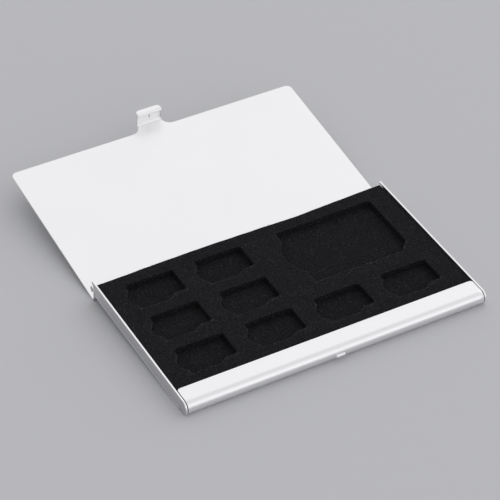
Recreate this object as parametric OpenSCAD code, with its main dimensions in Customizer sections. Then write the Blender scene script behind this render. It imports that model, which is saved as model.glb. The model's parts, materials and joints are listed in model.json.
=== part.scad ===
// Thin sheet aluminium case for flat memory cards. The lid is shown open.
// Case frame: X to the right, Y to the rear, Z up, underside of the tray at Z = 0,
// Y = 0 in the middle of the visible foam. All sizes are in mm.
// stand() then sets the case on its front round and on the heel of the open lid.

/* [Case] */
// Width over both side plates
case_w = 97.8; // [96.6:0.2:101]
// Height of the tray, and of the side plates' top edges, over the underside
tray_h = 4.6; // [4.6:0.1:5.6]
// From the tray's foremost point to the hinge axis
hinge_reach = 58.7; // [57.9:0.1:61]
// Thickness of the tray's and the lid's sheet
sheet_t = 0.5; // [0.4:0.05:0.6]
// Thickness of a side plate
plate_t = 0.6; // [0.5:0.05:0.8]
// Depth of the lip that folds back over the front of the tray
lip_d = 7.7; // [7:0.1:9]
// Radius of the lip's two rear corners
lip_corner_r = 1; // [0.5:0.1:2]
// Gap between each end of the lip and its side plate
lip_gap = 0.2; // [0.1:0.05:0.3]
// Reach of the foot on which a side plate stands on the tray's floor
foot_w = 2.5; // [1.5:0.1:3]

/* [Hinge] */
// Outer radius of the hinge knuckles
barrel_r = 1.25; // [1.15:0.05:1.35]
// How far the knuckles stand clear of whatever the tray's floor lies on
knuckle_lift = 0.05; // [0.02:0.01:0.1]
// Radius of the hinge pin
pin_r = 0.7; // [0.5:0.05:0.7]
// Radial clearance between the pin and the knuckles
pin_clear = 0.05; // [0.02:0.01:0.08]
// Gap between neighbouring knuckles
knuckle_gap = 0.25; // [0.15:0.05:0.5]
// How far the lid swings from closed to its open stop, in degrees
open_angle = 173.4; // [150:0.1:176]
// How far the beak of a side plate reaches behind the hinge axis
beak_d = 0.35; // [0.1:0.05:0.4]
// Clearance of tray and plates around the knuckles
knuckle_room = 0.25; // [0.2:0.05:0.3]

/* [Lid] */
// How far the closed lid's front edge stops short of the tray's foremost point
lid_setback = 1.9; // [1.5:0.1:2.7]
// Gap between the closed lid and the side plates' top edges
lid_gap = 0.08; // [0.05:0.01:0.2]
// Radius of the lid's two front corners
lid_corner_r = 1.8; // [0.8:0.1:4]
// Outer radius of the bend between the lid and its back wall
heel_r = 1.2; // [0.8:0.1:1.6]

/* [Latch] */
// Width of the snap tab
tab_w = 8.3; // [6:0.1:14]
// Clear space between the tab's wall and the tray's front
tab_space = 1.2; // [1.1:0.1:2]
// Depth of the tab's wall, from the lid's inner face to the finger lift's face
tab_drop = 4.6; // [4.2:0.1:4.6]
// How far the bead at the foot of the tab's wall stands in from the wall
ridge_h = 0.4; // [0.2:0.05:0.45]
// Inner face's radius round that bead
bead_r = 0.65; // [0.6:0.05:0.75]
// Length of the finger lift at the end of the tab
flare_d = 1.3; // [1:0.1:4]
// Radius where the tab's sides run out into the lid's edge
tab_fillet = 3; // [1.5:0.1:4]
// Inner radius of the bend between the lid and the tab's wall
tab_bend_r = 0.8; // [0.4:0.05:0.9]
// Radius of the finger lift's two corners
lift_corner_r = 1.2; // [0.6:0.1:1.3]
// Width of the short slot in the tab's wall
slot_w = 0.5; // [0.4:0.1:1]
// Height of that slot
slot_h = 1.8; // [1:0.1:2.2]
// Height of the slot's lower end over the finger lift's face
slot_z = 0.9; // [0.8:0.1:1.2]
// How far the nub stands out of the tray's front
nub_out = 0.5; // [0.3:0.05:0.6]
// Length of the nub
nub_w = 3.3; // [2:0.1:6]
// Radius of the nub's rounded ridge
nub_r = 0.55; // [0.5:0.05:0.6]

/* [Foam] */
// Depth of the foam's top face below the side plates' top edges
foam_drop = 0.5; // [0.5:0.05:0.7]
// How far the foam reaches in under the lip
foam_tuck = 3.1; // [1:0.1:3.3]
// Side clearance between the foam and the side plates and their feet
foam_gap = 0.2; // [0.1:0.05:0.4]
// Thickness of the layer with the card pockets, which is the pockets' depth
pocket_d = 2; // [1.6:0.1:2.2]
// Thickness of the tape under the foam
tape_t = 0.1; // [0.05:0.05:0.2]
// Foam rim between the foam's rear edge and the first row of pockets
rear_rim = 4.1; // [3.8:0.1:4.8]
// Left edge of the first column of small pockets
small_x0 = -41.2; // [-42:0.1:-41]
// Pitch of the small pockets from column to column
small_px = 22.4; // [20:0.1:22.5]
// Pitch of the small pockets from row to row
small_py = 15.4; // [14:0.1:15.4]
// Length of a small pocket
small_l = 15.3; // [15.1:0.1:16]
// Width of a small pocket
small_w = 11.1; // [11:0.1:11.6]
// Width of a small pocket's contact end
small_end = 9.5; // [9:0.1:10]
// Length of the narrower contact end
small_end_l = 3.8; // [3:0.1:4.5]
// Length of the slant between the contact end and the full width
small_slant = 2.4; // [1:0.1:3]
// How far a small pocket's finger notch reaches out
small_notch = 1.7; // [1:0.1:2]
// Width of a small pocket's finger notch
small_notch_w = 7; // [5:0.1:9]
// From a small pocket's rear edge to the middle of its finger notch
small_notch_y = 5.9; // [4.8:0.1:6.2]
// Left edge of the large pocket
large_x0 = 8.5; // [7.5:0.1:8.6]
// Length of the large pocket
large_l = 32.6; // [32.2:0.1:33]
// Width of the large pocket
large_w = 24.6; // [24.2:0.1:25]
// Cut corner of the large pocket
large_cut = 3.4; // [2:0.1:5]
// How far the large pocket's finger notch reaches out
large_notch = 2.8; // [1.5:0.1:3]
// Width of the large pocket's finger notch
large_notch_w = 15.4; // [10:0.1:20]
// From the large pocket's rear edge to the middle of its finger notch
large_notch_y = 12; // [11:0.1:13.6]

/* [Hidden] */
$fn = 64;
eps = 0.02;
seam = 1;                              // how far pieces of one sheet run into each other

round_r = tray_h / 2;                  // the tray's front is a full half round
front_y = -32.6;                       // foremost point of the tray
round_y = front_y + round_r;           // axis of the front round
floor_y = round_y + 2.2;               // where the floor widens to run under the side plates
lip_rear_y = front_y + lip_d;
hinge_y = front_y + hinge_reach;
hinge_z = barrel_r + knuckle_lift;
rear_y = hinge_y - barrel_r - knuckle_room;   // rear edge of floor and plates
in_x = case_w / 2 - plate_t;           // inner face of a side plate
beak_y = hinge_y + beak_d;
beak_l = 0.85;                         // length of the beak's under side
beak_h = 1.45;                         // height of the beak
foot_end = 1.4;                        // from the rear edge of a side plate to the end of its foot
knuckle_n = 5;                         // lid, tray, lid, tray, lid
knuckle_pitch = case_w / knuckle_n;
curl_turn = 265;                       // how far a knuckle's sheet is rolled, in degrees
pin_inset = 0.3;                       // from the case's side to the end of the pin

lid_in_z = tray_h + lid_gap;           // inner face of the closed lid
lid_out_z = lid_in_z + sheet_t;
lid_front_y = front_y + lid_setback;
wall_y = hinge_y + barrel_r;           // outer face of the lid's back wall
tab_in_y = front_y - tab_space;        // inner face of the tab's wall
tab_low_z = lid_in_z - tab_drop;
bead_y = tab_in_y + ridge_h - bead_r;  // axis of the bead
bead_z = tab_low_z + bead_r;
bead_mid_r = bead_r - sheet_t / 2;
bead_start = 50;                       // where the tab's wall runs into the bead
bead_end = -135;                       // where the finger lift leaves it
lift_z = bead_z + bead_mid_r * sin(bead_end);   // middle of the finger lift's sheet

foam_top_z = tray_h - foam_drop;
foam_mid_z = foam_top_z - pocket_d;
foam_rear_y = rear_y - 0.15;
foam_front_y = lip_rear_y - foam_tuck;
foam_x = in_x - foam_gap;
base_x = in_x - foot_w - foam_gap;
row_y = foam_rear_y - rear_rim;        // rear edge of the first row of pockets
tape_rim = 1;                          // how far the tape stops short of the foam's edges

// Lean of the tray when the open lid's heel is on the table: the lowest points
// of the front round and of the heel's bend come to the same height.
heel_u = barrel_r - heel_r;
heel_v = lid_out_z - heel_r - hinge_z;
heel_y = hinge_y + heel_u * cos(open_angle) + heel_v * sin(open_angle);
heel_z = hinge_z - heel_u * sin(open_angle) + heel_v * cos(open_angle);
fall = round_r - heel_z;
span = heel_y - round_y;
lean = atan2(fall, span) - asin((round_r - heel_r) / sqrt(fall * fall + span * span));
lift = round_r - (round_r * cos(lean) + round_y * sin(lean));

nub_y = front_y + nub_r - nub_out;
nub_z = round_r - 0.3;

// Middle of the whole thing from front to rear, at rest
tip_y = tab_in_y - sheet_t - flare_d;
tip_u = tip_y - hinge_y;
tip_v = lift_z + sheet_t / 2 - hinge_z;
tip_wy = hinge_y + tip_u * cos(open_angle) + tip_v * sin(open_angle);
tip_wz = hinge_z - tip_u * sin(open_angle) + tip_v * cos(open_angle);
far_y = tip_wy * cos(lean) - tip_wz * sin(lean);
near_y = nub_y * cos(lean) - nub_z * sin(lean) - nub_r;
mid_y = (far_y + near_y) / 2;

ALU = [0.86, 0.86, 0.88];
PLATE = [0.62, 0.63, 0.66];
STEEL = [0.5, 0.5, 0.53];
FOAM = [0.14, 0.14, 0.15];
TAPE = [0.8, 0.8, 0.75];

module stand() { translate([0, -mid_y, lift]) rotate([lean, 0, 0]) children(); }

module opened() {
    translate([0, hinge_y, hinge_z]) rotate([-open_angle, 0, 0])
        translate([0, -hinge_y, -hinge_z]) children();
}

// A profile drawn as (Y, Z), as thick as w along X, centred on x
module along_x(x, w) {
    translate([x - w / 2, 0, 0]) rotate([90, 0, 90]) linear_extrude(w) children();
}

function arc(c, r, a0, a1, n = 16) =
    [for (i = [0:n]) let (a = a0 + (a1 - a0) * i / n) [c[0] + r * cos(a), c[1] + r * sin(a)]];

function bez(p, q, r, n = 8) =
    [for (i = [0:n]) let (t = i / n) (1 - t) * (1 - t) * p + 2 * t * (1 - t) * q + t * t * r];

function unit(v) = v / norm(v);

// A sheet, sheet_t thick, whose middle follows the path
module bent_sheet(path) {
    n = len(path);
    half = [for (i = [0:n - 1])
        let (back = unit(path[max(i, 1)] - path[max(i, 1) - 1]),
             on = unit(path[min(i, n - 2) + 1] - path[min(i, n - 2)]),
             d = back + on)
        [-d[1], d[0]] * sheet_t / (d * d)];
    polygon(concat([for (i = [0:n - 1]) path[i] + half[i]], [for (i = [n - 1:-1:0]) path[i] - half[i]]));
}

// Middle and width of knuckle i along X, and the middle of its piece of sheet
function knuckle_x(i) = -case_w / 2 + (i + 0.5) * knuckle_pitch;
function knuckle_w(i) = knuckle_pitch - knuckle_gap * (i == 0 || i == knuckle_n - 1 ? 0.5 : 1);
function knuckle_c(i) = knuckle_x(i) + (i == 0 ? -0.25 : i == knuckle_n - 1 ? 0.25 : 0) * knuckle_gap;

// Three quarters of a rolled tube about the hinge axis, from angle a0 on
module curl(a0) {
    r0 = pin_r + pin_clear;
    c = [hinge_y, hinge_z];
    a1 = a0 + curl_turn;
    polygon(concat(arc(c, barrel_r, a0, a1, 44), arc(c, r0, a1, a0, 44)));
}

module tray_section() {
    c = [round_y, round_r];
    end_y = floor_y + seam;
    polygon(concat([[end_y, 0]], arc(c, round_r, 270, 90, 40),
        [[lip_rear_y - lip_corner_r, tray_h], [lip_rear_y - lip_corner_r, tray_h - sheet_t]],
        arc(c, round_r - sheet_t, 90, 270, 40), [[end_y, sheet_t]]));
}

module tray_shell() {
    lip_w = 2 * (in_x - lip_gap);
    color(ALU) stand() {
        along_x(0, lip_w) tray_section();
        // rear strip of the lip, with its two rounded corners
        translate([0, 0, tray_h - sheet_t]) linear_extrude(sheet_t) {
            translate([-lip_w / 2 + lip_corner_r, lip_rear_y - 2 * lip_corner_r])
                square([lip_w - 2 * lip_corner_r, 2 * lip_corner_r]);
            for (s = [-1, 1])
                translate([s * (lip_w / 2 - lip_corner_r), lip_rear_y - lip_corner_r])
                    circle(lip_corner_r);
        }
        // floor
        translate([-case_w / 2, floor_y, 0]) cube([case_w, rear_y - floor_y, sheet_t]);
        for (i = [1, 3]) {
            along_x(knuckle_c(i), knuckle_w(i)) curl(270);
            translate([knuckle_c(i) - knuckle_w(i) / 2, rear_y - seam, knuckle_lift])
                cube([knuckle_w(i), hinge_y - rear_y + seam + eps, sheet_t]);
        }
        // nub on the front round
        translate([0, nub_y, nub_z]) {
            rotate([0, 90, 0]) cylinder(h = nub_w - 2 * nub_r, r = nub_r, center = true, $fn = 32);
            for (s = [-1, 1]) translate([s * (nub_w / 2 - nub_r), 0, 0]) sphere(nub_r, $fn = 32);
        }
    }
}

module side_plate(s) {
    hook = [beak_y - beak_l, tray_h - beak_h];      // where the beak's curve turns down
    foot_y = lip_rear_y - seam;
    stand() {
        along_x(s * (case_w / 2 - plate_t / 2), plate_t) {
            translate([round_y, round_r]) circle(round_r);
            polygon(concat([[round_y, sheet_t], [round_y, tray_h], [beak_y, tray_h]],
                bez([beak_y, tray_h], [beak_y - 0.35 * beak_l, tray_h - 0.5 * beak_h], hook),
                bez(hook, [rear_y, hinge_z + beak_h], [rear_y, hinge_z]),
                [[rear_y, sheet_t]]));
        }
        // foot on the floor of the tray
        translate([s > 0 ? in_x - foot_w : -in_x - eps, foot_y, sheet_t])
            cube([foot_w + eps, rear_y - foot_end - foot_y, sheet_t]);
    }
}

module side_plate_left() { color(PLATE) side_plate(-1); }
module side_plate_right() { color(PLATE) side_plate(1); }

module lid_section(low_z) {
    c = [wall_y - heel_r, lid_out_z - heel_r];
    polygon(concat([[wall_y - 5, lid_in_z], [wall_y - 5, lid_out_z]],
        arc(c, heel_r, 90, 0), [[wall_y, low_z], [wall_y - sheet_t, low_z]],
        arc(c, heel_r - sheet_t, 0, 90)));
}

// Middle of the tab's sheet, from the panel round the bend, down the wall, round the bead
// and out along the finger lift
module tab_section() {
    half = sheet_t / 2;
    y = tab_in_y - half;
    bead = [bead_y, bead_z];
    side = arc(bead, bead_mid_r, bead_start, bead_end, 24);
    turn = side[0] + [-sin(bead_start), cos(bead_start)] * (side[0][0] - y) / sin(bead_start);
    bent_sheet(concat([[lid_front_y + seam, lid_in_z + half]],
        arc([tab_in_y + tab_bend_r, lid_in_z - tab_bend_r], tab_bend_r + half, 90, 180, 12),
        bez(turn + [0, 0.2], turn, (turn + side[0]) / 2, 5), side, [[tip_y, lift_z]]));
}

// What lies outside the bend between the panel and the tab's wall
module bend_waste() {
    r = tab_bend_r + sheet_t;
    difference() {
        translate([tab_in_y - sheet_t - seam, lid_out_z - r]) square([r + seam, r + seam]);
        translate([tab_in_y + tab_bend_r, lid_out_z - r]) circle(r + eps);
    }
}

module lid_panel() {
    w = case_w;
    r = lid_corner_r;
    f = tab_fillet;
    c = lift_corner_r;
    color(ALU) stand() opened() difference() {
        union() {
            // flat panel, rounded at its two front corners, with the tab's root
            translate([0, 0, lid_in_z]) linear_extrude(sheet_t) {
                polygon(concat([[w / 2, wall_y - heel_r], [-w / 2, wall_y - heel_r]],
                    arc([-w / 2 + r, lid_front_y + r], r, 180, 270, 10),
                    [for (a = [0:9:90]) [-tab_w / 2 - f + f * sin(a), lid_front_y - f + f * cos(a)]],
                    [for (a = [90:-9:0]) [tab_w / 2 + f - f * sin(a), lid_front_y - f + f * cos(a)]],
                    arc([w / 2 - r, lid_front_y + r], r, 270, 360, 10)));
            }
            // bend and back wall, down to the knuckles and cut clear of the tray's
            for (i = [0:knuckle_n - 1]) {
                mine = i % 2 == 0;
                g = mine ? knuckle_w(i) : knuckle_pitch + knuckle_gap;
                along_x(mine ? knuckle_c(i) : knuckle_x(i), g)
                    lid_section(mine ? hinge_z : hinge_z + barrel_r + knuckle_room);
                if (mine) along_x(knuckle_c(i), knuckle_w(i)) curl(95);
            }
            along_x(0, tab_w) tab_section();
        }
        along_x(0, tab_w + 2 * f) bend_waste();
        // rounded corners of the finger lift
        for (s = [-1, 1]) translate([s * tab_w / 2, tip_y, tab_low_z - 1]) difference() {
            translate([-c, -1, 0]) cube([2 * c, 1 + c, 2 + sheet_t]);
            translate([-s * c, c, -1]) cylinder(h = 4 + sheet_t, r = c, $fn = 48);
        }
        // short slot in the tab's wall
        translate([-slot_w / 2, tab_in_y - 1, tab_low_z + slot_z]) cube([slot_w, 2, slot_h]);
    }
}

module hinge_pin() {
    color(STEEL) stand() translate([0, hinge_y, hinge_z]) rotate([0, 90, 0])
        cylinder(h = case_w - 2 * pin_inset, r = pin_r, center = true, $fn = 48);
}

// Circle segment that stands out by h over a chord of length c, towards -X
module finger_notch(c, h) {
    r = (c * c / 4 + h * h) / (2 * h);
    intersection() {
        translate([r - h, 0]) circle(r, $fn = 128);
        translate([-h - 1, -c]) square([h + 1.5, 2 * c]);
    }
}

module small_pocket() {
    step = small_w - small_end;
    end_x = small_l - small_end_l;
    polygon([[0, 0], [small_l, 0], [small_l, -small_end], [end_x, -small_end],
        [end_x - small_slant, -small_end - step], [0, -small_end - step]]);
    translate([0, -small_notch_y]) finger_notch(small_notch_w, small_notch);
}

module large_pocket() {
    polygon([[0, 0], [large_l, 0], [large_l, -large_w + large_cut],
        [large_l - large_cut, -large_w], [0, -large_w]]);
    translate([0, -large_notch_y]) finger_notch(large_notch_w, large_notch);
}

module foam_pocket_layer() {
    color(FOAM) stand() translate([0, 0, foam_mid_z]) linear_extrude(pocket_d) difference() {
        translate([-foam_x, foam_front_y]) square([2 * foam_x, foam_rear_y - foam_front_y]);
        for (row = [0:2], col = [0:3]) if (col < 2 || row == 2)
            translate([small_x0 + col * small_px, row_y - row * small_py]) small_pocket();
        translate([large_x0, row_y]) large_pocket();
    }
}

module foam_base_layer() {
    z0 = sheet_t + tape_t;
    color(FOAM) stand() translate([-base_x, foam_front_y, z0])
        cube([2 * base_x, foam_rear_y - foam_front_y, foam_mid_z - z0]);
}

module adhesive_tape() {
    color(TAPE) stand() translate([-base_x + tape_rim, foam_front_y + tape_rim, sheet_t])
        cube([2 * (base_x - tape_rim), foam_rear_y - foam_front_y - 2 * tape_rim, tape_t]);
}

tray_shell();
side_plate_left();
side_plate_right();
lid_panel();
hinge_pin();
foam_pocket_layer();
foam_base_layer();
adhesive_tape();
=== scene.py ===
"""A thin sheet aluminium case for flat memory cards, lying open.

Each sheet piece is a grid: its rows follow the middle of the bent sheet, its columns run across
the case, and the cells outside the sheet's outline are left out. The sheet's thickness and its
eased edges come from modifiers. Sizes are in millimetres in the case's own frame, as in the
part's source: X to the right, Y to the rear, Z up from the underside of the tray.
"""
import json
import math
import bmesh
import bpy
import numpy as np
from mathutils import Matrix, Vector


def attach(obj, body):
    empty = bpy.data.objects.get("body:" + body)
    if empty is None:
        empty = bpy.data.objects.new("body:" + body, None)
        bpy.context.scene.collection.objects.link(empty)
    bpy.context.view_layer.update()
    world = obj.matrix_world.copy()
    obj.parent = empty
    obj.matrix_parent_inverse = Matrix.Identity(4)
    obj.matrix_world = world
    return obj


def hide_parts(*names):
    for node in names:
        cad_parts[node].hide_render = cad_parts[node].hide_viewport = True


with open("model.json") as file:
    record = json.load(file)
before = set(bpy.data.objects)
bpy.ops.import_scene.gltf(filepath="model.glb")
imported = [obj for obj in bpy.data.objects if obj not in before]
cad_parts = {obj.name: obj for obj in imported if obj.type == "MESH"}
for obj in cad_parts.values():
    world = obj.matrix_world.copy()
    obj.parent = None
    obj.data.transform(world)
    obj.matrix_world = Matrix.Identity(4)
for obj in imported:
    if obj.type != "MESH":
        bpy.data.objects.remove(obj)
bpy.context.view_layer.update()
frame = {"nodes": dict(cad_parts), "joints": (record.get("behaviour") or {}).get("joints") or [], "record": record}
MM = 0.001

# The tray and its hinge, in millimetres
CASE_W = 97.8
TRAY_H = 4.6
FRONT_Y = -32.6
HINGE_Y = 26.1
HINGE_Z = 1.3
SHEET_T = 0.5
PLATE_T = 0.6
LIP_D = 7.1
LIP_CORNER_R = 1.0
LIP_GAP = 0.2
FLOOR_SETBACK = 2.2     # from the front round's axis to where the floor is at its full width
BARREL_R = 1.25
KNUCKLES = 5
KNUCKLE_LIFT = 0.05
KNUCKLE_GAP = 0.25
KNUCKLE_ROOM = 0.25
RAMP_D = 1.0            # run over which the floor rises by KNUCKLE_LIFT
PIN_R = 0.7
PIN_INSET = 0.3
PIN_CHAMFER = 0.15

# The lid and its snap tab
OPEN_ANGLE = math.radians(173.4)
LID_GAP = 0.08
LID_SETBACK = 1.9
LID_CORNER_R = 1.8
HEEL_R = 1.2
TAB_W = 8.3
TAB_SPACE = 1.2
TAB_DROP = 4.6
TAB_FILLET = 3.0
TAB_BEND_R = 0.8
RIDGE_H = 0.4
BEAD_R = 0.65
BEAD_START = 50
BEAD_END = -135
FLARE_D = 1.3
LIFT_CORNER_R = 1.2
SLOT_W = 0.5
SLOT_H = 1.8
SLOT_Z = 0.9
NUB_W = 3.3
NUB_R = 0.55
NUB_OUT = 0.5
NUB_DROP = 0.3

# The foam and its tape
POCKET_D = 2.0
FOAM_DROP = 0.5
FOAM_TUCK = 2.5
FOAM_GAP = 0.2
FOAM_REAR_GAP = 0.15
BASE_INSET = 2.7
REAR_RIM = 4.1
TAPE_T = 0.1
HAIR = 0.02             # the gap that keeps two touching faces apart

# Longest steps of each grid, and the grid lines that are set beside an edge
TRAY_STEP = 1.6
LID_STEP = 1.2
FOAM_STEP_X = 0.7
FOAM_STEP_Y = 0.6
BASE_STEP = 1.5
LID_EDGE_STEP = 0.3     # from a cut edge of the lid in to the first column
RIM_OUT = 0.35          # from a pocket's edge out to a line, and in to two more
RIM_IN = 0.3
RIM_DEEP = 0.65
LINE_GAP = 0.05         # of two foam lines that are closer than this, one stays

# Radius of the eased edges. Blender narrows a whole piece's rounding to what its shortest cells
# leave room for, which is 0.03 mm on the lid and 0.05 mm on the foam.
EDGE_R = 0.07
PLATE_EDGE_R = 0.13
FOAM_EDGE_R = 0.16

# Places that follow from the sizes
HALF_W = CASE_W / 2
HALF_T = SHEET_T / 2
IN_X = HALF_W - PLATE_T
LIP_X = IN_X - LIP_GAP
ROUND_R = TRAY_H / 2
ROUND_Y = FRONT_Y + ROUND_R
LIP_REAR_Y = FRONT_Y + LIP_D
FLOOR_Y = ROUND_Y + FLOOR_SETBACK
REAR_Y = HINGE_Y - BARREL_R - KNUCKLE_ROOM
HINGE = np.array([0.0, HINGE_Y, HINGE_Z])
KNUCKLE_PITCH = CASE_W / KNUCKLES
LID_IN_Z = TRAY_H + LID_GAP
LID_FRONT_Y = FRONT_Y + LID_SETBACK
TAB_IN_Y = FRONT_Y - TAB_SPACE
TAB_LOW_Z = LID_IN_Z - TAB_DROP
FOAM_TOP_Z = TRAY_H - FOAM_DROP
FOAM_MID_Z = FOAM_TOP_Z - POCKET_D
FOAM_REAR_Y = REAR_Y - FOAM_REAR_GAP
FOAM_FRONT_Y = LIP_REAR_Y - FOAM_TUCK
FOAM_X = IN_X - FOAM_GAP
BASE_X = IN_X - BASE_INSET

# The card pockets: length, full width, width and length of the narrow end, length of the slant,
# reach, width and place of the finger notch, and how far the rear edge is cut askew
SMALL = dict(l=15.3, w=11.1, end=9.5, end_l=3.8, slant=2.4, notch=1.7, notch_w=7.0,
             notch_y=5.9, skew=0.0)
LARGE = dict(l=32.6, w=24.6, end=21.2, end_l=0.0, slant=3.4, notch=2.8, notch_w=15.4,
             notch_y=12.0, skew=0.35)
ROW_Y = FOAM_REAR_Y - REAR_RIM
SMALL_X0 = -41.2
SMALL_PX = 22.4
SMALL_PY = 15.4
LARGE_X0 = 8.5
POCKETS = [(SMALL_X0 + c * SMALL_PX, ROW_Y - r * SMALL_PY, SMALL)
           for r in range(3) for c in range(4) if c < 2 or r == 2]
POCKETS += [(LARGE_X0, ROW_Y, LARGE)]

# The foam's hand-cut edges, and the painted highlight along the pocket rims
RIM_HIGHLIGHT_W = 0.3            # width of the painted highlight band beside a pocket's front and left edge
CORNER_DRAW = 0.23      # how far a pocket's corner is drawn in, and how far that reaches
CORNER_REACH = 0.5
RIGHT_DRAW = 0.3        # how far the foam's right edge is drawn in

# The case leans on its front round and on the open lid's heel: the frame gives the lean, and
# where the hinge stands
LEAN = math.asin(frame["record"]["mounts"][0]["axis"][1])
HINGE_AT = np.array(frame["joints"][0]["pos_m"]) / MM


def turned(points, angle):
    """Points turned about the X axis by an angle, by the right-hand rule."""
    c, s = math.cos(angle), math.sin(angle)
    x, y, z = points[..., 0], points[..., 1], points[..., 2]
    return np.stack([x, c * y - s * z, s * y + c * z], -1)


def stood(points):
    """From the case's own frame, in mm, to the place where the open case stands, in metres:
    the points turn about the hinge by the lean, and the hinge moves to the frame's own."""
    return (turned(points - HINGE, LEAN) + HINGE_AT) * MM


def opened(points):
    """The closed lid's points, swung open about the hinge."""
    return turned(points - HINGE, -OPEN_ANGLE) + HINGE


def line(p, q, n):
    """n even steps from p to q, without q."""
    t = np.linspace(0, 1, n, endpoint=False)[:, None]
    return np.array(p) * (1 - t) + np.array(q) * t


def arc(centre, r, start, end, n):
    """n even steps of a circle from the start to the end angle, in degrees, without the end."""
    a = np.radians(np.linspace(start, end, n, endpoint=False))
    return np.stack([centre[0] + r * np.cos(a), centre[1] + r * np.sin(a)], 1)


def bent(p, q, r, n):
    """n even steps of the quadratic Bezier curve from p to r that q pulls, without r."""
    t = np.linspace(0, 1, n, endpoint=False)[:, None]
    p, q, r = np.array(p), np.array(q), np.array(r)
    return (1 - t) ** 2 * p + 2 * t * (1 - t) * q + t * t * r


def columns(breaks, step):
    """Places from the first break to the last, with even steps of at most step between two."""
    runs = [np.linspace(a, b, max(2, math.ceil((b - a) / step) + 1))[:-1]
            for a, b in zip(breaks[:-1], breaks[1:])]
    return np.concatenate(runs + [[breaks[-1]]])


def joined(runs):
    """Named runs of (y, z) places put one behind the other, and each run's end as a count of
    rows."""
    ends = np.cumsum([len(run) for run in runs.values()])
    return np.concatenate(list(runs.values())), dict(zip(runs, ends))


def swept(path, across):
    """Grid points whose row i lies at (y, z) = path[i], with its columns at x = across[i]."""
    y, z = (np.repeat(path[:, k:k + 1], across.shape[1], 1) for k in (0, 1))
    return np.stack([across, y, z], -1)


def shortfall(r, e):
    """How far a rounded corner of radius r stands back at e from the edge that it starts from:
    r - sqrt(r^2 - (r - e)^2)."""
    return r - np.sqrt(r ** 2 - (r - e) ** 2)


def fade(v, edge, before, after):
    """1 at the edge, falling in a straight line to 0 at before and at after."""
    return np.clip(np.minimum((v - before) / (edge - before), (after - v) / (after - edge)), 0, 1)


def bell(v, middle, width):
    """1 at the middle, falling off as exp(-((v - middle) / width)^2)."""
    return np.exp(-((v - middle) / width) ** 2)


def ripple(x, y, seed, size, waves=5):
    """A smooth random wave over the plane, from -1 to 1, whose bumps are about size mm wide:
    the mean of a few plane waves with random headings, phases and stretches."""
    draw = np.random.default_rng(seed)
    low, high = [0, 0, 0.7], [math.pi, 2 * math.pi, 1.4]
    total = 0.0
    for heading, phase, stretch in draw.uniform(low, high, (waves, 3)):
        along = x * math.cos(heading) + y * math.sin(heading)
        total = total + np.sin(along * math.pi / (size * stretch) + phase)
    return total / waves


def linked(name, data):
    """A new object of this name in the scene, which holds the data."""
    made = bpy.data.objects.new(name, data)
    bpy.context.scene.collection.objects.link(made)
    return made


def cells_to_mesh(name, points, keep, place, painted_rim_highlight=None):
    """A mesh over the grid points[i, j]: cell (i, j), between rows i and i+1 and columns j and
    j+1, is a quad where keep[i, j] is true. Points that no cell uses are left out. The last
    argument, a painted highlight for each point, is kept on the points as an attribute of its
    own name."""
    rows, cols = points.shape[:2]
    index = np.arange(rows * cols).reshape(rows, cols)
    corners = [index[:-1, :-1], index[:-1, 1:], index[1:, 1:], index[1:, :-1]]
    used, compact = np.unique(np.stack(corners, -1)[keep], return_inverse=True)
    mesh = bpy.data.meshes.new(name)
    mesh.from_pydata(place(points.reshape(-1, 3)[used]), [], compact.reshape(-1, 4).tolist())
    mesh.update()
    if painted_rim_highlight is not None:
        rim_highlight_attribute = mesh.attributes.new("painted_rim_highlight", "FLOAT", "POINT")
        rim_highlight_attribute.data.foreach_set("value", painted_rim_highlight.ravel()[used])
    return linked(name, mesh)


def smooth(piece):
    """Every face of the piece is shaded smooth."""
    piece.data.polygons.foreach_set("use_smooth", np.ones(len(piece.data.polygons), bool))
    return piece


def eased(piece, edge_r, segments=2):
    """Edges sharper than 50 degrees are rounded to edge_r, and flat faces keep a flat shade."""
    bevel = piece.modifiers.new("eased edges", "BEVEL")
    bevel.width = edge_r * MM
    bevel.segments = segments
    bevel.limit_method = "ANGLE"
    bevel.angle_limit = math.radians(50)
    flat = piece.modifiers.new("flat shade", "WEIGHTED_NORMAL")
    flat.keep_sharp = True
    return piece


def thickened(piece, thickness, edge_r, offset=0.0, segments=2):
    """The grid becomes a sheet of this thickness, with its cut edges eased to edge_r."""
    solid = piece.modifiers.new("sheet", "SOLIDIFY")
    solid.thickness = thickness * MM
    solid.offset = offset
    solid.use_even_offset = True
    return smooth(eased(piece, edge_r, segments))


def knuckle(i):
    """Left and right end of hinge knuckle i, counted from 0 at the left."""
    left = -HALF_W + i * KNUCKLE_PITCH
    last = KNUCKLES - 1
    return (left + (KNUCKLE_GAP / 2 if i else 0),
            left + KNUCKLE_PITCH - (KNUCKLE_GAP / 2 if i < last else 0))


def within(x, spans):
    """Whether each column cell's middle lies in one of the spans."""
    mid = (x[:-1] + x[1:]) / 2
    return np.any([(mid > a) & (mid < b) for a, b in spans], axis=0)


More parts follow.
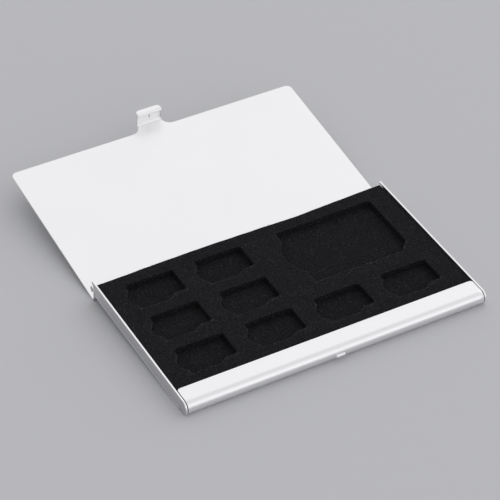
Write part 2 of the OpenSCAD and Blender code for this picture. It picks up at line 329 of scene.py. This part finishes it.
def tray_shell():
    """The tray's sheet: from the lip's rear edge forward, round the half-round front and back
    along the floor to the knuckles. A row's place is the middle of the sheet. The lip's two
    corners are rounded off, with rows that lie further apart than an eased edge is wide."""
    turns = np.radians([0, 30, 45, 56, 67, 78])
    corner = LIP_REAR_Y - LIP_CORNER_R * (1 - np.cos(turns))
    lip_z = TRAY_H - HALF_T
    knuckle_z = HALF_T + KNUCKLE_LIFT
    path, end = joined({
        "corner": np.stack([corner, np.full(len(corner), lip_z)], 1),
        "lip": line([LIP_REAR_Y - LIP_CORNER_R, lip_z], [ROUND_Y, lip_z], 8),
        "round": arc([ROUND_Y, ROUND_R], ROUND_R - HALF_T, 90, 270, 48),
        "narrow floor": line([ROUND_Y, HALF_T], [FLOOR_Y, HALF_T], 3),
        "floor": line([FLOOR_Y, HALF_T], [REAR_Y - RAMP_D, HALF_T], 36),
        "ramp": line([REAR_Y - RAMP_D, HALF_T], [REAR_Y, knuckle_z], 4),
        "under the pin": line([REAR_Y, knuckle_z], [HINGE_Y, knuckle_z], 3),
        "knuckle": arc([HINGE_Y, HINGE_Z], BARREL_R - HALF_T, 270, 535, 40)})
    mine = [knuckle(1), knuckle(3)]
    x = columns([-HALF_W, -LIP_X, *mine[0], *mine[1], LIP_X, HALF_W], TRAY_STEP)
    e = np.clip(LIP_REAR_Y - path[:, 0], 0, LIP_CORNER_R)
    e[end["lip"]:] = LIP_CORNER_R
    short = shortfall(LIP_CORNER_R, e)[:, None]
    across = np.where(np.abs(x) <= LIP_X, x, 0)[None] * (1 - short / LIP_X)
    across = across + np.where(np.abs(x) > LIP_X, x, 0)[None]
    row = np.arange(len(path) - 1)[:, None]
    keep = (row >= end["narrow floor"]) | within(x, [(-LIP_X, LIP_X)])
    keep &= (row < end["ramp"]) | within(x, mine)
    return cells_to_mesh("folded_tray", swept(path, across), keep, stood)


def lid_panel():
    """The lid's sheet: round the hinge pin, up the back wall, round the heel, along the flat
    panel, down the snap tab's wall, round its bead and out along the finger lift. The tab's half
    width is w/2 plus its fillet's shortfall at the run beyond the lid's edge, and the corners of
    the panel and of the lift take off their own. Rows lie further apart than an eased edge is
    wide wherever a cut edge crosses them."""
    mid_z = LID_IN_Z + HALF_T
    wall_y = HINGE_Y + BARREL_R - HALF_T
    notch_z = HINGE_Z + BARREL_R + KNUCKLE_ROOM
    heel = [HINGE_Y + BARREL_R - HEEL_R, LID_IN_Z + SHEET_T - HEEL_R]
    turns = np.radians([0, 11, 22, 33, 44, 55, 67])
    corner = LID_FRONT_Y + LID_CORNER_R * (1 - np.sin(turns))
    tab_y = TAB_IN_Y - HALF_T
    bend = [TAB_IN_Y + TAB_BEND_R, LID_IN_Z - TAB_BEND_R]
    slot_low = TAB_LOW_Z + SLOT_Z
    slot_high = slot_low + SLOT_H
    # Ahead of the bead, its tangent and the tab's wall meet in a small bend
    bead_axis = [TAB_IN_Y + RIDGE_H - BEAD_R, TAB_LOW_Z + BEAD_R]
    bead = arc(bead_axis, BEAD_R - HALF_T, BEAD_START, BEAD_END, 10)
    turn = math.radians(BEAD_START)
    tangent = np.array([-math.sin(turn), math.cos(turn)])
    meet = bead[0] + tangent * (bead[0][0] - tab_y) / math.sin(turn)
    above, below = meet + [0, 0.2], (meet + bead[0]) / 2
    # The finger lift runs out level, a hundredth of a millimetre below the bead's last row
    lift_z = bead[-1][1] - 0.01
    tip_y = tab_y - HALF_T - FLARE_D
    lift_y = tip_y + LIFT_CORNER_R
    path, end = joined({
        "knuckle": arc([HINGE_Y, HINGE_Z], BARREL_R - HALF_T, -265, 0, 40),
        "knuckle's wall": line([wall_y, HINGE_Z], [wall_y, notch_z], 3),
        "wall": line([wall_y, notch_z], [wall_y, heel[1]], 2),
        "heel": arc(heel, HEEL_R - HALF_T, 0, 90, 12),
        "panel": line([heel[0], mid_z], [LID_FRONT_Y + LID_CORNER_R, mid_z], 40),
        "corner": np.stack([corner, np.full(len(corner), mid_z)], 1),
        "tab's root": line([LID_FRONT_Y, mid_z], [bend[0], mid_z], 12),
        "bend": arc(bend, TAB_BEND_R + HALF_T, 90, 180, 14),
        "tab": line([tab_y, bend[1]], [tab_y, slot_high], 3),
        "slot": line([tab_y, slot_high], above, 5),
        "bend to the bead": bent(above, meet, below, 3),
        "way to the bead": line(below, bead[0], 1),
        "bead": bead[:-1],
        "way to the lift": line(bead[-1], [lift_y, lift_z], 1),
        "lift": bent([lift_y, lift_z], [tip_y + 0.3, lift_z], [tip_y, lift_z], 6),
        "tip": [[tip_y, lift_z]]})
    root = TAB_W / 2 + TAB_FILLET
    mine = [knuckle(0), knuckle(2), knuckle(4)]
    slot_x = SLOT_W / 2 * root / (TAB_W / 2)
    x = columns([-HALF_W, mine[0][1], mine[1][0], -root, -slot_x, slot_x, root, mine[1][1],
                 mine[2][0], HALF_W], LID_STEP)
    beside = np.array([HALF_W, root]) - LID_EDGE_STEP
    x = np.sort(np.concatenate([x, -beside, beside]))
    y = path[:, 0]
    run = np.concatenate([[0], np.cumsum(np.hypot(*np.diff(path, axis=0).T))])
    d = np.clip(run - run[end["corner"]], 0, TAB_FILLET)
    c = np.clip(y - tip_y, 0, LIFT_CORNER_R)
    c[:end["bead"]] = LIFT_CORNER_R
    e = np.clip(y - LID_FRONT_Y, 0, LID_CORNER_R)
    e[:end["heel"]] = LID_CORNER_R
    tab = TAB_W / 2 + shortfall(TAB_FILLET, d) - shortfall(LIFT_CORNER_R, c)
    panel = HALF_W - shortfall(LID_CORNER_R, e)
    u = np.clip(np.abs(x) / root, 0, 1)[None]
    v = np.clip((np.abs(x) - root) / (HALF_W - root), 0, 1)[None]
    across = np.sign(x)[None] * (u * tab[:, None] + v * (panel - root)[:, None])
    row = np.arange(len(path) - 1)[:, None]
    keep = (row >= end["knuckle's wall"]) | within(x, mine)
    keep &= (row < end["corner"]) | within(x, [(-root, root)])
    slot_rows = (row >= end["tab"]) & (path[:-1, 1:] > slot_low) & (row < end["bead"])
    keep &= ~(slot_rows & within(x, [(-slot_x, slot_x)]))
    return cells_to_mesh("folded_lid", swept(path, across), keep, lambda p: stood(opened(p)))


def revolved(name, profile, at):
    """A closed solid of revolution about the X axis through at: profile holds (x, radius)
    pairs, and each ring has 32 points. The ends run in to a radius of zero and are closed."""
    n = 32
    a = np.linspace(0, 2 * math.pi, n, endpoint=False)
    x, r = np.array(profile)[:, :1], np.array(profile)[:, 1:]
    ring = np.stack([np.repeat(x, n, 1), r * np.cos(a), r * np.sin(a)], -1)
    ring = np.concatenate([ring, ring[:, :1]], 1)
    keep = np.ones((len(x) - 1, n), bool)
    piece = cells_to_mesh(name, ring, keep, lambda p: stood(p + at))
    mended = bmesh.new()
    mended.from_mesh(piece.data)
    bmesh.ops.remove_doubles(mended, verts=mended.verts, dist=1e-7)
    bmesh.ops.recalc_face_normals(mended, faces=mended.faces)
    mended.to_mesh(piece.data)
    mended.free()
    return smooth(piece)


def snap_nub():
    """A capsule on the front round: a half circle at each end of a straight stretch."""
    a = np.radians(np.linspace(0, 90, 9))
    end = NUB_W / 2 - NUB_R
    left = np.stack([-end - NUB_R * np.cos(a), NUB_R * np.sin(a)], 1)
    right = (left * [-1, 1])[::-1]
    at = np.array([0, FRONT_Y + NUB_R - NUB_OUT, ROUND_R - NUB_DROP])
    return revolved("snap_nub", np.concatenate([left, right]), at)


def pin():
    """The hinge pin: a plain rod with a chamfer at both ends."""
    end, cut = HALF_W - PIN_INSET, PIN_CHAMFER
    left = np.array([(-end, 0), (-end, PIN_R - cut), (cut - end, PIN_R), (1 - end, PIN_R)])
    right = (left * [-1, 1])[::-1]
    return revolved("steel_hinge_pin", np.concatenate([left, right]), HINGE)


def dressed_copy(node, name, edge_r):
    """A merged copy of a CAD node's own mesh, with flat faces joined and its edges eased."""
    mesh = frame["nodes"][node].data.copy()
    mesh.materials.clear()
    merged = bmesh.new()
    merged.from_mesh(mesh)
    bmesh.ops.remove_doubles(merged, verts=merged.verts, dist=1e-6)
    bmesh.ops.dissolve_limit(merged, angle_limit=math.radians(1), verts=merged.verts,
                             edges=merged.edges)
    merged.to_mesh(mesh)
    merged.free()
    return eased(smooth(linked(name, mesh)), edge_r, 3)


def pocket_lines():
    """The foam grid's lines in x and in y: along each pocket's edges, its slant and its notch,
    and two lines inside and one outside its edges."""
    xs, ys = {-FOAM_X, FOAM_X}, {FOAM_FRONT_Y, FOAM_REAR_Y}
    for x0, y0, p in POCKETS:
        right, front = x0 + p["l"], y0 - p["w"]
        slant_x, notch_y = right - p["end_l"], y0 - p["notch_y"]
        xs |= {x0 - RIM_OUT, x0, x0 + RIM_IN, x0 + RIM_DEEP, right - RIM_DEEP, right - RIM_IN,
               right, slant_x, slant_x - p["slant"]}
        ys |= {y0, y0 - RIM_IN, y0 - RIM_DEEP, front + RIM_DEEP, front + RIM_IN, front,
               front - RIM_OUT, notch_y - p["notch_w"] / 2, notch_y + p["notch_w"] / 2}
    both = [np.array(sorted(lines)) for lines in (xs, ys)]
    return [lines[np.append(np.diff(lines) > LINE_GAP, True)] for lines in both]


def rim_highlight_mask(x, y, x0, y0, p):
    """A painted highlight: 1 on a pocket's front edge, and on its left edge up to 2 mm from the
    rear, falling off outside them by a bell curve."""
    right, front = x0 + p["l"], y0 - p["w"]
    painted_rim_highlight = np.zeros_like(x)
    for gap, along, first, last in ((front - y, x, x0, right), (x0 - x, y, front, y0 - 2)):
        near = (gap > -0.01) & (along > first - 0.4) & (along < last + 0.4)
        painted_rim_highlight = np.maximum(painted_rim_highlight, near * bell(gap, 0, RIM_HIGHLIGHT_W))
    return painted_rim_highlight


def drawn_aside(x, y, x0, y0, p):
    """How far the grid moves near a pocket, in x and in y, so that the left edge's line follows
    the finger notch, a segment of a circle, the front edge's line steps to the narrow end along
    the slant, the rear edge's line is askew, and each corner is drawn in by a bell curve of the
    distance. Each move fades out over a few millimetres."""
    right, front = x0 + p["l"], y0 - p["w"]
    h, c = p["notch"], p["notch_w"]
    r = (c * c / 4 + h * h) / (2 * h)
    v = np.clip(y - (y0 - p["notch_y"]), -c / 2, c / 2)
    reach = np.sqrt(r * r - v * v) - (r - h)
    dx = -reach * fade(x, x0, x0 - 4.5, x0 + 6)
    slant_x = right - p["end_l"] - p["slant"]
    rise = (p["w"] - p["end"]) * np.clip((x - slant_x) / p["slant"], 0, 1)
    rise *= np.clip((right + 1.5 - x) / 1.5, 0, 1)
    dy = rise * fade(y, front, front - 3, front + 9)
    askew = p["skew"] * np.clip((x - x0) / p["l"] * 2 - 1, -1, 1)
    askew *= fade(y, y0, y0 - 8, FOAM_REAR_Y)
    dy += askew * fade(x, x0 + p["l"] / 2, x0 - 6, right + 6)
    for corner_x, to_x in ((x0, 1), (right, -1)):
        for corner_y, to_y in ((y0, -1), (front, 1)):
            far = np.hypot(x - corner_x, y - corner_y)
            drawn = CORNER_DRAW * bell(far, 0, CORNER_REACH)
            dx += to_x * drawn
            dy += to_y * drawn
    return dx, dy


def rear_wave(x, y):
    """How much further back than straight the foam's rear edge is cut: 0.12 mm, with a rise to
    the right, a fall to the left, a hollow at x = 17, a bulge at x = -15 and a fine ripple."""
    right, far_right = np.clip((x - 20) / 25, 0, 1), np.clip((x - 30) / 12, 0, 1)
    left = np.clip((-30 - x) / 16, 0, 1)
    return (0.12 + 0.45 * right + 0.08 * far_right - 0.25 * left - 0.3 * bell(x, 17, 7)
            + 0.25 * bell(x, -15, 14) + 0.06 * ripple(x, y, 15, 2.5))


def foam_pocket_layer():
    """The cut foam: a flat grid with a line along each straight pocket edge, drawn aside near
    the pockets. Slow ripples make the cuts uneven, as a knife leaves them in foam, the rear edge
    waves and stands a little higher, and the right edge is drawn in. The cells in the pockets
    are left out, and the layer gets its depth and its soft rim from modifiers."""
    xs, ys = pocket_lines()
    x, y = np.meshgrid(columns(xs, FOAM_STEP_X), columns(ys, FOAM_STEP_Y))
    mx, my = ((v[:-1, :-1] + v[1:, 1:]) / 2 for v in (x, y))
    keep = np.ones(mx.shape, bool)
    # A painted highlight is gathered along each pocket's front and left rim, and kept on the mesh.
    dx, dy, painted_rim_highlight = (np.zeros_like(x) for _ in range(3))
    for x0, y0, p in POCKETS:
        keep &= ~((mx > x0) & (mx < x0 + p["l"]) & (my < y0) & (my > y0 - p["w"]))
        aside = drawn_aside(x, y, x0, y0, p)
        dx += aside[0]
        dy += aside[1]
        painted_rim_highlight = np.maximum(painted_rim_highlight, rim_highlight_mask(x, y, x0, y0, p))
    inside = np.clip((FOAM_X - np.abs(x)) / 3, 0, 1)
    ahead = np.clip((FOAM_REAR_Y - y) / 3, 0, 1)
    dx += (0.10 * ripple(x, y, 11, 5) + 0.05 * ripple(x, y, 12, 1.6)) * inside
    dy += (0.10 * ripple(x, y, 13, 5) + 0.05 * ripple(x, y, 14, 1.6)) * ahead
    rear = fade(y, FOAM_REAR_Y, FOAM_REAR_Y - 4, FOAM_REAR_Y + 1)
    dy += rear * rear_wave(x, y)
    dx -= RIGHT_DRAW * fade(x, FOAM_X, FOAM_X - 3, FOAM_X + 1)
    raised = 0.12 + 0.15 * np.clip((x - 30) / 12, 0, 1)
    swell = 0.04 * ripple(x, y, 16, 8) * inside + rear * raised
    points = np.stack([x + dx, y + dy, FOAM_TOP_Z - HAIR + swell], -1)
    return cells_to_mesh("cut_foam", points, keep, stood, painted_rim_highlight)


def foam_base_layer():
    """The plain foam under the pockets: a flat grid that dips and swells by a few hundredths."""
    x, y = np.meshgrid(columns([-BASE_X, BASE_X], BASE_STEP),
                       columns([FOAM_FRONT_Y, FOAM_REAR_Y], BASE_STEP))
    points = np.stack([x, y, FOAM_MID_Z - HAIR + 0.015 * ripple(x, y, 3, 9)], -1)
    keep = np.ones((x.shape[0] - 1, x.shape[1] - 1), bool)
    return cells_to_mesh("backing_foam", points, keep, stood)


def linear(hex_colour):
    """A #RRGGBB colour in sRGB, as linear RGBA."""
    v = np.array([int(hex_colour[i:i + 2], 16) for i in (1, 3, 5)]) / 255
    lin = np.where(v <= 0.04045, v / 12.92, ((v + 0.055) / 1.055) ** 2.4)
    return (*lin.tolist(), 1.0)


def add(tree, kind, links=None, **settings):
    """Adds a node of this kind. Settings are its properties, or its inputs where they start with
    in_, and links joins an input, by name or number, to another node's output."""
    node = tree.nodes.new(kind)
    for key, value in settings.items():
        if key.startswith("in_"):
            node.inputs[key[3:].replace("_", " ")].default_value = value
        else:
            setattr(node, key, value)
    for key, output in (links or {}).items():
        tree.links.new(output, node.inputs[key])
    return node


def material(name):
    """A new node material, its node tree and its Principled shader."""
    made = bpy.data.materials.new(name)
    made.use_nodes = True
    tree = made.node_tree
    return made, tree, tree.nodes["Principled BSDF"]


def satin_aluminium(name, hex_colour, roughness, grit_mm, bump, painted_edge_highlight=None):
    """Sheet aluminium, fine-blasted and clear anodised: an even satin white metal, whose grit
    is far too fine to see and only softens what it mirrors. The grit is drawn at grit_mm, and
    the sheen drifts a little in clouds of 18 mm. The last argument, where given, is a brighter
    colour painted on the faces that turn away from X, a painted highlight on a plate's edges,
    while the faces that turn along X keep hex_colour, as painted shade."""
    made, tree, shader = material(name)
    where = add(tree, "ShaderNodeTexCoord")
    grit = add(tree, "ShaderNodeTexNoise", {"Vector": where.outputs["Object"]},
               in_Scale=1 / (grit_mm * MM), in_Detail=2.0, in_Roughness=0.6)
    cloud = add(tree, "ShaderNodeTexNoise", {"Vector": where.outputs["Object"]},
                in_Scale=1 / (18 * MM), in_Detail=3.0)
    sheen = add(tree, "ShaderNodeMapRange", {"Value": cloud.outputs["Fac"]}, in_From_Min=0.3,
                in_From_Max=0.7, in_To_Min=roughness - 0.02, in_To_Max=roughness + 0.03)
    tree.links.new(sheen.outputs["Result"], shader.inputs["Roughness"])
    raised = add(tree, "ShaderNodeBump", {"Height": grit.outputs["Fac"]}, in_Strength=bump,
                 in_Distance=0.02 * MM)
    tree.links.new(raised.outputs["Normal"], shader.inputs["Normal"])
    shader.inputs["Base Color"].default_value = linear(hex_colour)
    if painted_edge_highlight:
        # Painted highlight and painted shade: the colour runs from the brighter one on faces away from X to
        # hex_colour on faces along X.
        facing = add(tree, "ShaderNodeSeparateXYZ", {"Vector": where.outputs["Normal"]})
        flat = add(tree, "ShaderNodeMath", {0: facing.outputs["X"]}, operation="ABSOLUTE")
        ramp = add(tree, "ShaderNodeValToRGB", {"Fac": flat.outputs["Value"]})
        cut, face = ramp.color_ramp.elements
        cut.position, cut.color = 0.4, linear(painted_edge_highlight)
        face.position, face.color = 0.8, linear(hex_colour)
        tree.links.new(ramp.outputs["Color"], shader.inputs["Base Color"])
    shader.inputs["Metallic"].default_value = 1.0
    return made


def foam_black(name, middle):
    """Closed-cell EVA foam, black, sliced and die-cut: the cut cells make a dull black, speckled
    grey where a cell's rim catches the light, with a paler painted highlight along the pocket
    rims marked on the mesh. Cells are about 0.1 mm across, and are drawn at 0.35 mm, as coarse as
    they need to be to show, clumped at 0.6 mm and shaded in patches of 5 mm. middle is the
    colour halfway up the ramp."""
    made, tree, shader = material(name)
    where = add(tree, "ShaderNodeTexCoord")
    grain = add(tree, "ShaderNodeTexNoise", {"Vector": where.outputs["Object"]},
                in_Scale=1 / (0.6 * MM), in_Detail=5.0, in_Roughness=0.75)
    cells = add(tree, "ShaderNodeTexVoronoi", {"Vector": where.outputs["Object"]},
                in_Scale=1 / (0.35 * MM))
    patch = add(tree, "ShaderNodeTexNoise", {"Vector": where.outputs["Object"]},
                in_Scale=1 / (5 * MM), in_Detail=4.0, in_Roughness=0.6)
    rims = add(tree, "ShaderNodeMath", {0: grain.outputs["Fac"], 1: cells.outputs["Distance"]},
               operation="MULTIPLY")
    both = add(tree, "ShaderNodeMath", {0: patch.outputs["Fac"], 2: rims.outputs["Value"]},
               operation="MULTIPLY_ADD")
    both.inputs[1].default_value = 0.12
    # The painted highlight along the pocket rims, speckled by the grain, lightens the foam's tone.
    painted_rim_highlight = add(tree, "ShaderNodeAttribute", attribute_name="painted_rim_highlight")
    speckled_rim_highlight = add(tree, "ShaderNodeMath", {0: painted_rim_highlight.outputs["Fac"], 1: grain.outputs["Fac"]},
                 operation="MULTIPLY")
    whole = add(tree, "ShaderNodeMath", {0: speckled_rim_highlight.outputs["Value"], 2: both.outputs["Value"]},
                operation="MULTIPLY_ADD")
    whole.inputs[1].default_value = 0.36
    tone = add(tree, "ShaderNodeMapRange", {"Value": whole.outputs["Value"]},
               in_From_Min=0.09, in_From_Max=0.89)
    ramp = add(tree, "ShaderNodeValToRGB", {"Fac": tone.outputs["Result"]})
    ramp.color_ramp.elements[0].color = linear("#040405")
    ramp.color_ramp.elements[1].color = linear("#54545A")
    ramp.color_ramp.elements.new(0.5).color = linear(middle)
    tree.links.new(ramp.outputs["Color"], shader.inputs["Base Color"])
    raised = add(tree, "ShaderNodeBump", {"Height": rims.outputs["Value"]}, in_Strength=0.8,
                 in_Distance=0.2 * MM)
    tree.links.new(raised.outputs["Normal"], shader.inputs["Normal"])
    shader.inputs["Roughness"].default_value = 0.95
    shader.inputs["Specular IOR Level"].default_value = 0.1
    return made


def drawn_pin_steel():
    """Drawn steel rod: bright grey, with drawing lines 0.2 mm wide along its length."""
    made, tree, shader = material("drawn_steel_rod")
    where = add(tree, "ShaderNodeTexCoord")
    long = add(tree, "ShaderNodeMapping", {"Vector": where.outputs["Object"]})
    long.inputs["Scale"].default_value = (0.05, 1, 1)
    lines = add(tree, "ShaderNodeTexNoise", {"Vector": long.outputs["Vector"]},
                in_Scale=1 / (0.2 * MM))
    raised = add(tree, "ShaderNodeBump", {"Height": lines.outputs["Fac"]}, in_Strength=0.3,
                 in_Distance=0.02 * MM)
    tree.links.new(raised.outputs["Normal"], shader.inputs["Normal"])
    shader.inputs["Base Color"].default_value = linear("#B4B5B8")
    shader.inputs["Metallic"].default_value = 1.0
    shader.inputs["Roughness"].default_value = 0.3
    return made


def tape_cream():
    """Double-sided tape: a thin cream film with a slight sheen and faint creases."""
    made, tree, shader = material("double_sided_tape")
    where = add(tree, "ShaderNodeTexCoord")
    crease = add(tree, "ShaderNodeTexNoise", {"Vector": where.outputs["Object"]},
                 in_Scale=1 / (4 * MM))
    raised = add(tree, "ShaderNodeBump", {"Height": crease.outputs["Fac"]}, in_Strength=0.2,
                 in_Distance=0.05 * MM)
    tree.links.new(raised.outputs["Normal"], shader.inputs["Normal"])
    shader.inputs["Base Color"].default_value = linear("#D9D5C6")
    shader.inputs["Roughness"].default_value = 0.45
    return made


def finish_piece(piece, body, slot, finish, *nodes):
    """Gives a piece its material and its body, and hides the CAD nodes it stands for. The slot argument is not
    used.
    """
    piece.data.materials.clear()
    piece.data.materials.append(finish)
    if nodes:
        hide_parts(*nodes)
    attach(piece, body)


def pale_floor():
    """A wide pale floor of matt paper under the case, 6 m square."""
    mesh = bpy.data.meshes.new("floor")
    mesh.from_pydata([(-3, -3, 0), (3, -3, 0), (3, 3, 0), (-3, 3, 0)], [], [(0, 1, 2, 3)])
    made, _, shader = material("matt_paper_floor")
    shader.inputs["Base Color"].default_value = linear("#CECFD2")
    shader.inputs["Roughness"].default_value = 0.9
    shader.inputs["Specular IOR Level"].default_value = 0.1
    mesh.materials.append(made)
    linked("floor", mesh)


def area_lamp(name, at, aim, size, power):
    """A rectangular area lamp of this size, in metres, turned from at towards aim."""
    data = bpy.data.lights.new(name, "AREA")
    data.shape = "RECTANGLE"
    data.size, data.size_y = size
    data.energy = power
    turn = (Vector(aim) - Vector(at)).to_track_quat("-Z", "Y").to_matrix().to_4x4()
    linked(name, data).matrix_world = Matrix.Translation(at) @ turn


def studio_world():
    """A white light tent: its light follows a smooth step of the angle from a heading near
    overhead, where it is a quarter darker, times a soft ramp of the heading's X, half as bright
    on the left and dimmer behind the lamp on the right, times a smooth step of its Y, an eighth
    brighter in front."""
    world = bpy.data.worlds.new("light_tent")
    bpy.context.scene.world = world
    world.use_nodes = True
    tree = world.node_tree
    heading = add(tree, "ShaderNodeTexCoord").outputs["Generated"]
    near = add(tree, "ShaderNodeVectorMath", {0: heading}, operation="DOT_PRODUCT")
    near.inputs[1].default_value = Vector((0.36, -0.25, 0.90)).normalized()
    light = add(tree, "ShaderNodeMapRange", {"Value": near.outputs["Value"]},
                interpolation_type="SMOOTHSTEP", in_From_Min=0.75, in_From_Max=0.99,
                in_To_Min=0.975, in_To_Max=0.75)
    axis = add(tree, "ShaderNodeSeparateXYZ", {"Vector": heading})
    across = add(tree, "ShaderNodeMapRange", {"Value": axis.outputs["X"]}, in_From_Min=-1.0)
    side = add(tree, "ShaderNodeValToRGB", {"Fac": across.outputs["Result"]})
    side.color_ramp.interpolation = "EASE"
    left, right = side.color_ramp.elements
    left.position, left.color = 0.15, (0.45, 0.45, 0.45, 1)
    right.position, right.color = 0.92, (0.72, 0.72, 0.72, 1)
    for place in (0.575, 0.74):
        side.color_ramp.elements.new(place).color = (1, 1, 1, 1)
    front = add(tree, "ShaderNodeMapRange", {"Value": axis.outputs["Y"]},
                interpolation_type="SMOOTHSTEP", in_From_Min=-0.85, in_From_Max=-0.3,
                in_To_Min=1.13, in_To_Max=1.0)
    around = add(tree, "ShaderNodeMath", {0: side.outputs["Color"], 1: front.outputs["Result"]},
                 operation="MULTIPLY")
    level = add(tree, "ShaderNodeMath", {0: light.outputs["Result"], 1: around.outputs["Value"]},
                operation="MULTIPLY")
    background = tree.nodes["Background"]
    tree.links.new(level.outputs["Value"], background.inputs["Strength"])
    background.inputs["Color"].default_value = linear("#FFFEFF")


def camera():
    """The photograph's view: solved place, aim, roll and focal length of the camera."""
    at = Vector((-252.9, -478.5, 421.5)) * MM
    aim = Vector((2.17, -2.77, 0.0)) * MM
    roll = math.radians(1.02)
    ahead = (aim - at).normalized()
    right = ahead.cross(Vector((0, 0, 1))).normalized()
    right = Matrix.Rotation(roll, 3, ahead) @ right
    up = right.cross(ahead)
    data = bpy.data.cameras.new("camera")
    data.sensor_width = 36.0
    data.sensor_fit = "HORIZONTAL"
    data.lens = 165.2
    data.clip_start = 0.01
    shot = linked("camera", data)
    axes = Matrix((right, up, -ahead)).transposed().to_4x4()
    shot.matrix_world = Matrix.Translation(at) @ axes
    bpy.context.scene.camera = shot


sheet_finish = satin_aluminium("blasted_anodised_aluminium", "#F5F5F6", 0.34, 0.25, 0.25)
# The plate's faces along X are painted a darker grey, as painted shade, and its edges a near white, as a painted
# highlight.
plate_finish = satin_aluminium("anodised_aluminium_plate", "#D6D6D8", 0.36, 0.3, 0.3, "#FBFBFC")
foam_finish = foam_black("die_cut_eva_foam", "#29292C")
# The backing foam on the pocket floors is a shade darker than the cut foam, as painted shade in the pockets.
backing_finish = foam_black("sliced_eva_foam", "#28282B")

tray = thickened(tray_shell(), SHEET_T, EDGE_R)
finish_piece(tray, "tray", "satin_aluminium", sheet_finish, "tray_shell")
finish_piece(snap_nub(), "tray", "satin_aluminium", sheet_finish)
lid = thickened(lid_panel(), SHEET_T, EDGE_R)
finish_piece(lid, "lid", "satin_aluminium", sheet_finish, "lid_panel")
for side in ("left", "right"):
    plate = dressed_copy("side_plate_" + side, "end_plate_" + side, PLATE_EDGE_R)
    finish_piece(plate, "tray", "plate_aluminium", plate_finish, "side_plate_" + side)
finish_piece(pin(), "tray", "pin_steel", drawn_pin_steel(), "hinge_pin")
foam = thickened(foam_pocket_layer(), POCKET_D, FOAM_EDGE_R, offset=-1.0, segments=3)
finish_piece(foam, "tray", "black_foam", foam_finish, "foam_pocket_layer")
backing_t = FOAM_MID_Z - SHEET_T - TAPE_T - 2 * HAIR
backing = thickened(foam_base_layer(), backing_t, FOAM_EDGE_R, offset=-1.0)
finish_piece(backing, "tray", "black_foam", backing_finish, "foam_base_layer")
tape = frame["nodes"]["adhesive_tape"]
tape.data.materials.clear()
tape.data.materials.append(tape_cream())

pale_floor()
studio_world()
area_lamp("key", (1.30, 0.20, 0.66), (0, 0, 0), (1.3, 1.3), 2.0)
camera()
bpy.context.scene.view_settings.view_transform = "Standard"
